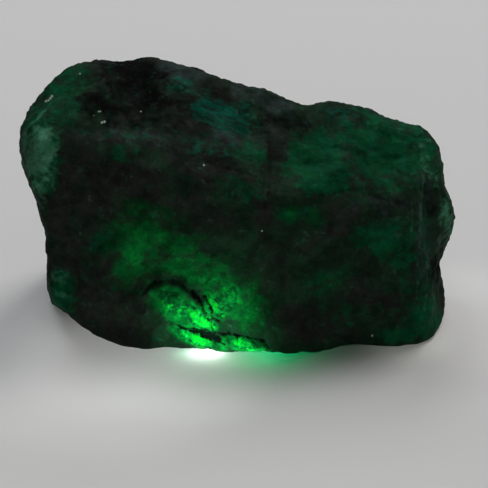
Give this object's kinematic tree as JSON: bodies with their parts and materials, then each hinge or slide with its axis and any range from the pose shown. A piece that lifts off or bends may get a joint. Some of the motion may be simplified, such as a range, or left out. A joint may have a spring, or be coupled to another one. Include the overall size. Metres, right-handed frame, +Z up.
{
  "type": "rough emerald",
  "caption": "Uncut piece of dark green emerald with worn broken faces, which lies on its flattest side.",
  "frame": {"origin": "middle of the underside of the stone's box, on the surface that it lies on", "axes": "+Z up, +X along the longest side, to the right as the stone is seen in the picture, +Y away from the viewer"},
  "size_m": [0.0566, 0.0272, 0.0333],
  "materials": {
    "emerald": "deep green, slightly translucent, worn broken faces with a faint waxy shine"
  },
  "bodies": {
    "root": {"emerald": "emerald"}
  },
  "joints": []
}
